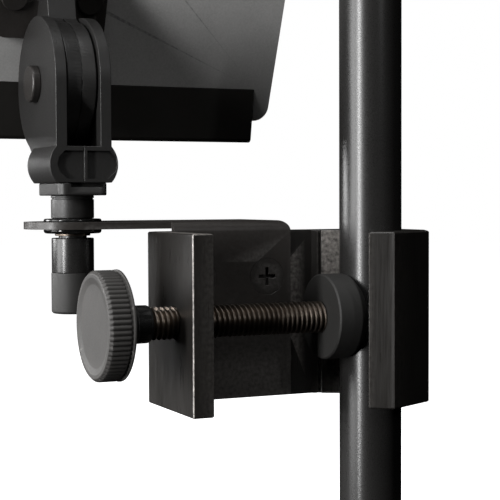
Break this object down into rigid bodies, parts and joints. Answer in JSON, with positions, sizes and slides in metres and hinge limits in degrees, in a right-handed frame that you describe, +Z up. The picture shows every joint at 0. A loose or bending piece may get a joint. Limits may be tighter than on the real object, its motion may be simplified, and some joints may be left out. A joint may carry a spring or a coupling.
{
  "type": "music stand",
  "caption": "Small tilting and swivelling music desk with a ledge, carried on a screw clamp that grips a vertical round tube.",
  "frame": {"origin": "centre of the upright tube's lower end, at the mouth of its socket", "axes": "+Z up the tube; +X along the clamp screw, from the knob to the vee jaw; +Y towards the reader's side of the desk"},
  "size_m": [0.1852, 0.1237, 0.4386],
  "materials": {
    "black_tube": "satin black, softly glossy",
    "black_plastic": "fine grain, moulded",
    "black_anodised": "satin black anodised, faint vertical grain",
    "black_powder": "satin black powder coat",
    "dark_steel": "black oxide, oiled",
    "gloss_black": "glossy black",
    "rubber": "matte",
    "knob_plastic": "matte dark grey, ribbed edge",
    "disc_plastic": "plain",
    "desk_grey": "satin grey-black powder coat"
  },
  "bodies": {
    "upright": {"upright_tube": "black_tube", "upright_plug": "black_plastic"},
    "clamp": {"clamp_frame": "black_anodised", "arm_bracket": "black_powder", "arm_screws": "dark_steel", "swivel_bush_upper": "gloss_black", "swivel_bush_lower": "gloss_black"},
    "pad": {"pressure_pad": "rubber", "pad_snap_ring": "dark_steel"},
    "screw": {"clamp_screw": "dark_steel", "clamp_knob": "knob_plastic", "knob_hub": "gloss_black"},
    "swivel": {"desk_post": "black_tube", "post_collar": "black_plastic", "post_circlip": "dark_steel", "post_end_cap": "rubber", "yoke_socket": "black_plastic", "yoke_left": "black_plastic", "yoke_right": "black_plastic", "tilt_bolt": "dark_steel", "tilt_nut": "dark_steel", "friction_disc_left": "disc_plastic", "friction_disc_right": "disc_plastic"},
    "desk": {"tilt_drum": "black_plastic", "desk_bracket": "black_powder", "desk_rivets": "dark_steel", "desk_panel": "desk_grey", "desk_ledge": "black_powder"}
  },
  "joints": [
    {"name": "clamp_slide", "type": "slide", "parent": "upright", "child": "clamp", "axis": [0, 0, 1], "range_m": [-0.02, 0.06]},
    {"name": "pad_travel", "type": "slide", "parent": "clamp", "child": "pad", "axis": [1, 0, 0], "range_m": [-0.012, 0]},
    {"name": "screw_turn", "type": "hinge", "parent": "pad", "child": "screw", "pos_m": [-0.05, 0, 0.1681], "axis": [1, 0, 0], "range_deg": [-2722, 0]},
    {"name": "desk_swivel", "type": "hinge", "parent": "clamp", "child": "swivel", "pos_m": [-0.0853, 0.031, 0.1953], "axis": [0, 0, 1], "range_deg": [-5, 120]},
    {"name": "desk_tilt", "type": "hinge", "parent": "swivel", "child": "desk", "pos_m": [-0.0853, 0.0395, 0.2388], "axis": [1, 0, 0], "range_deg": [-21, 8]}
  ],
  "couplings": [
    {"joint": "screw_turn", "follows": "pad_travel", "rad_per_m": 3957.9}
  ]
}
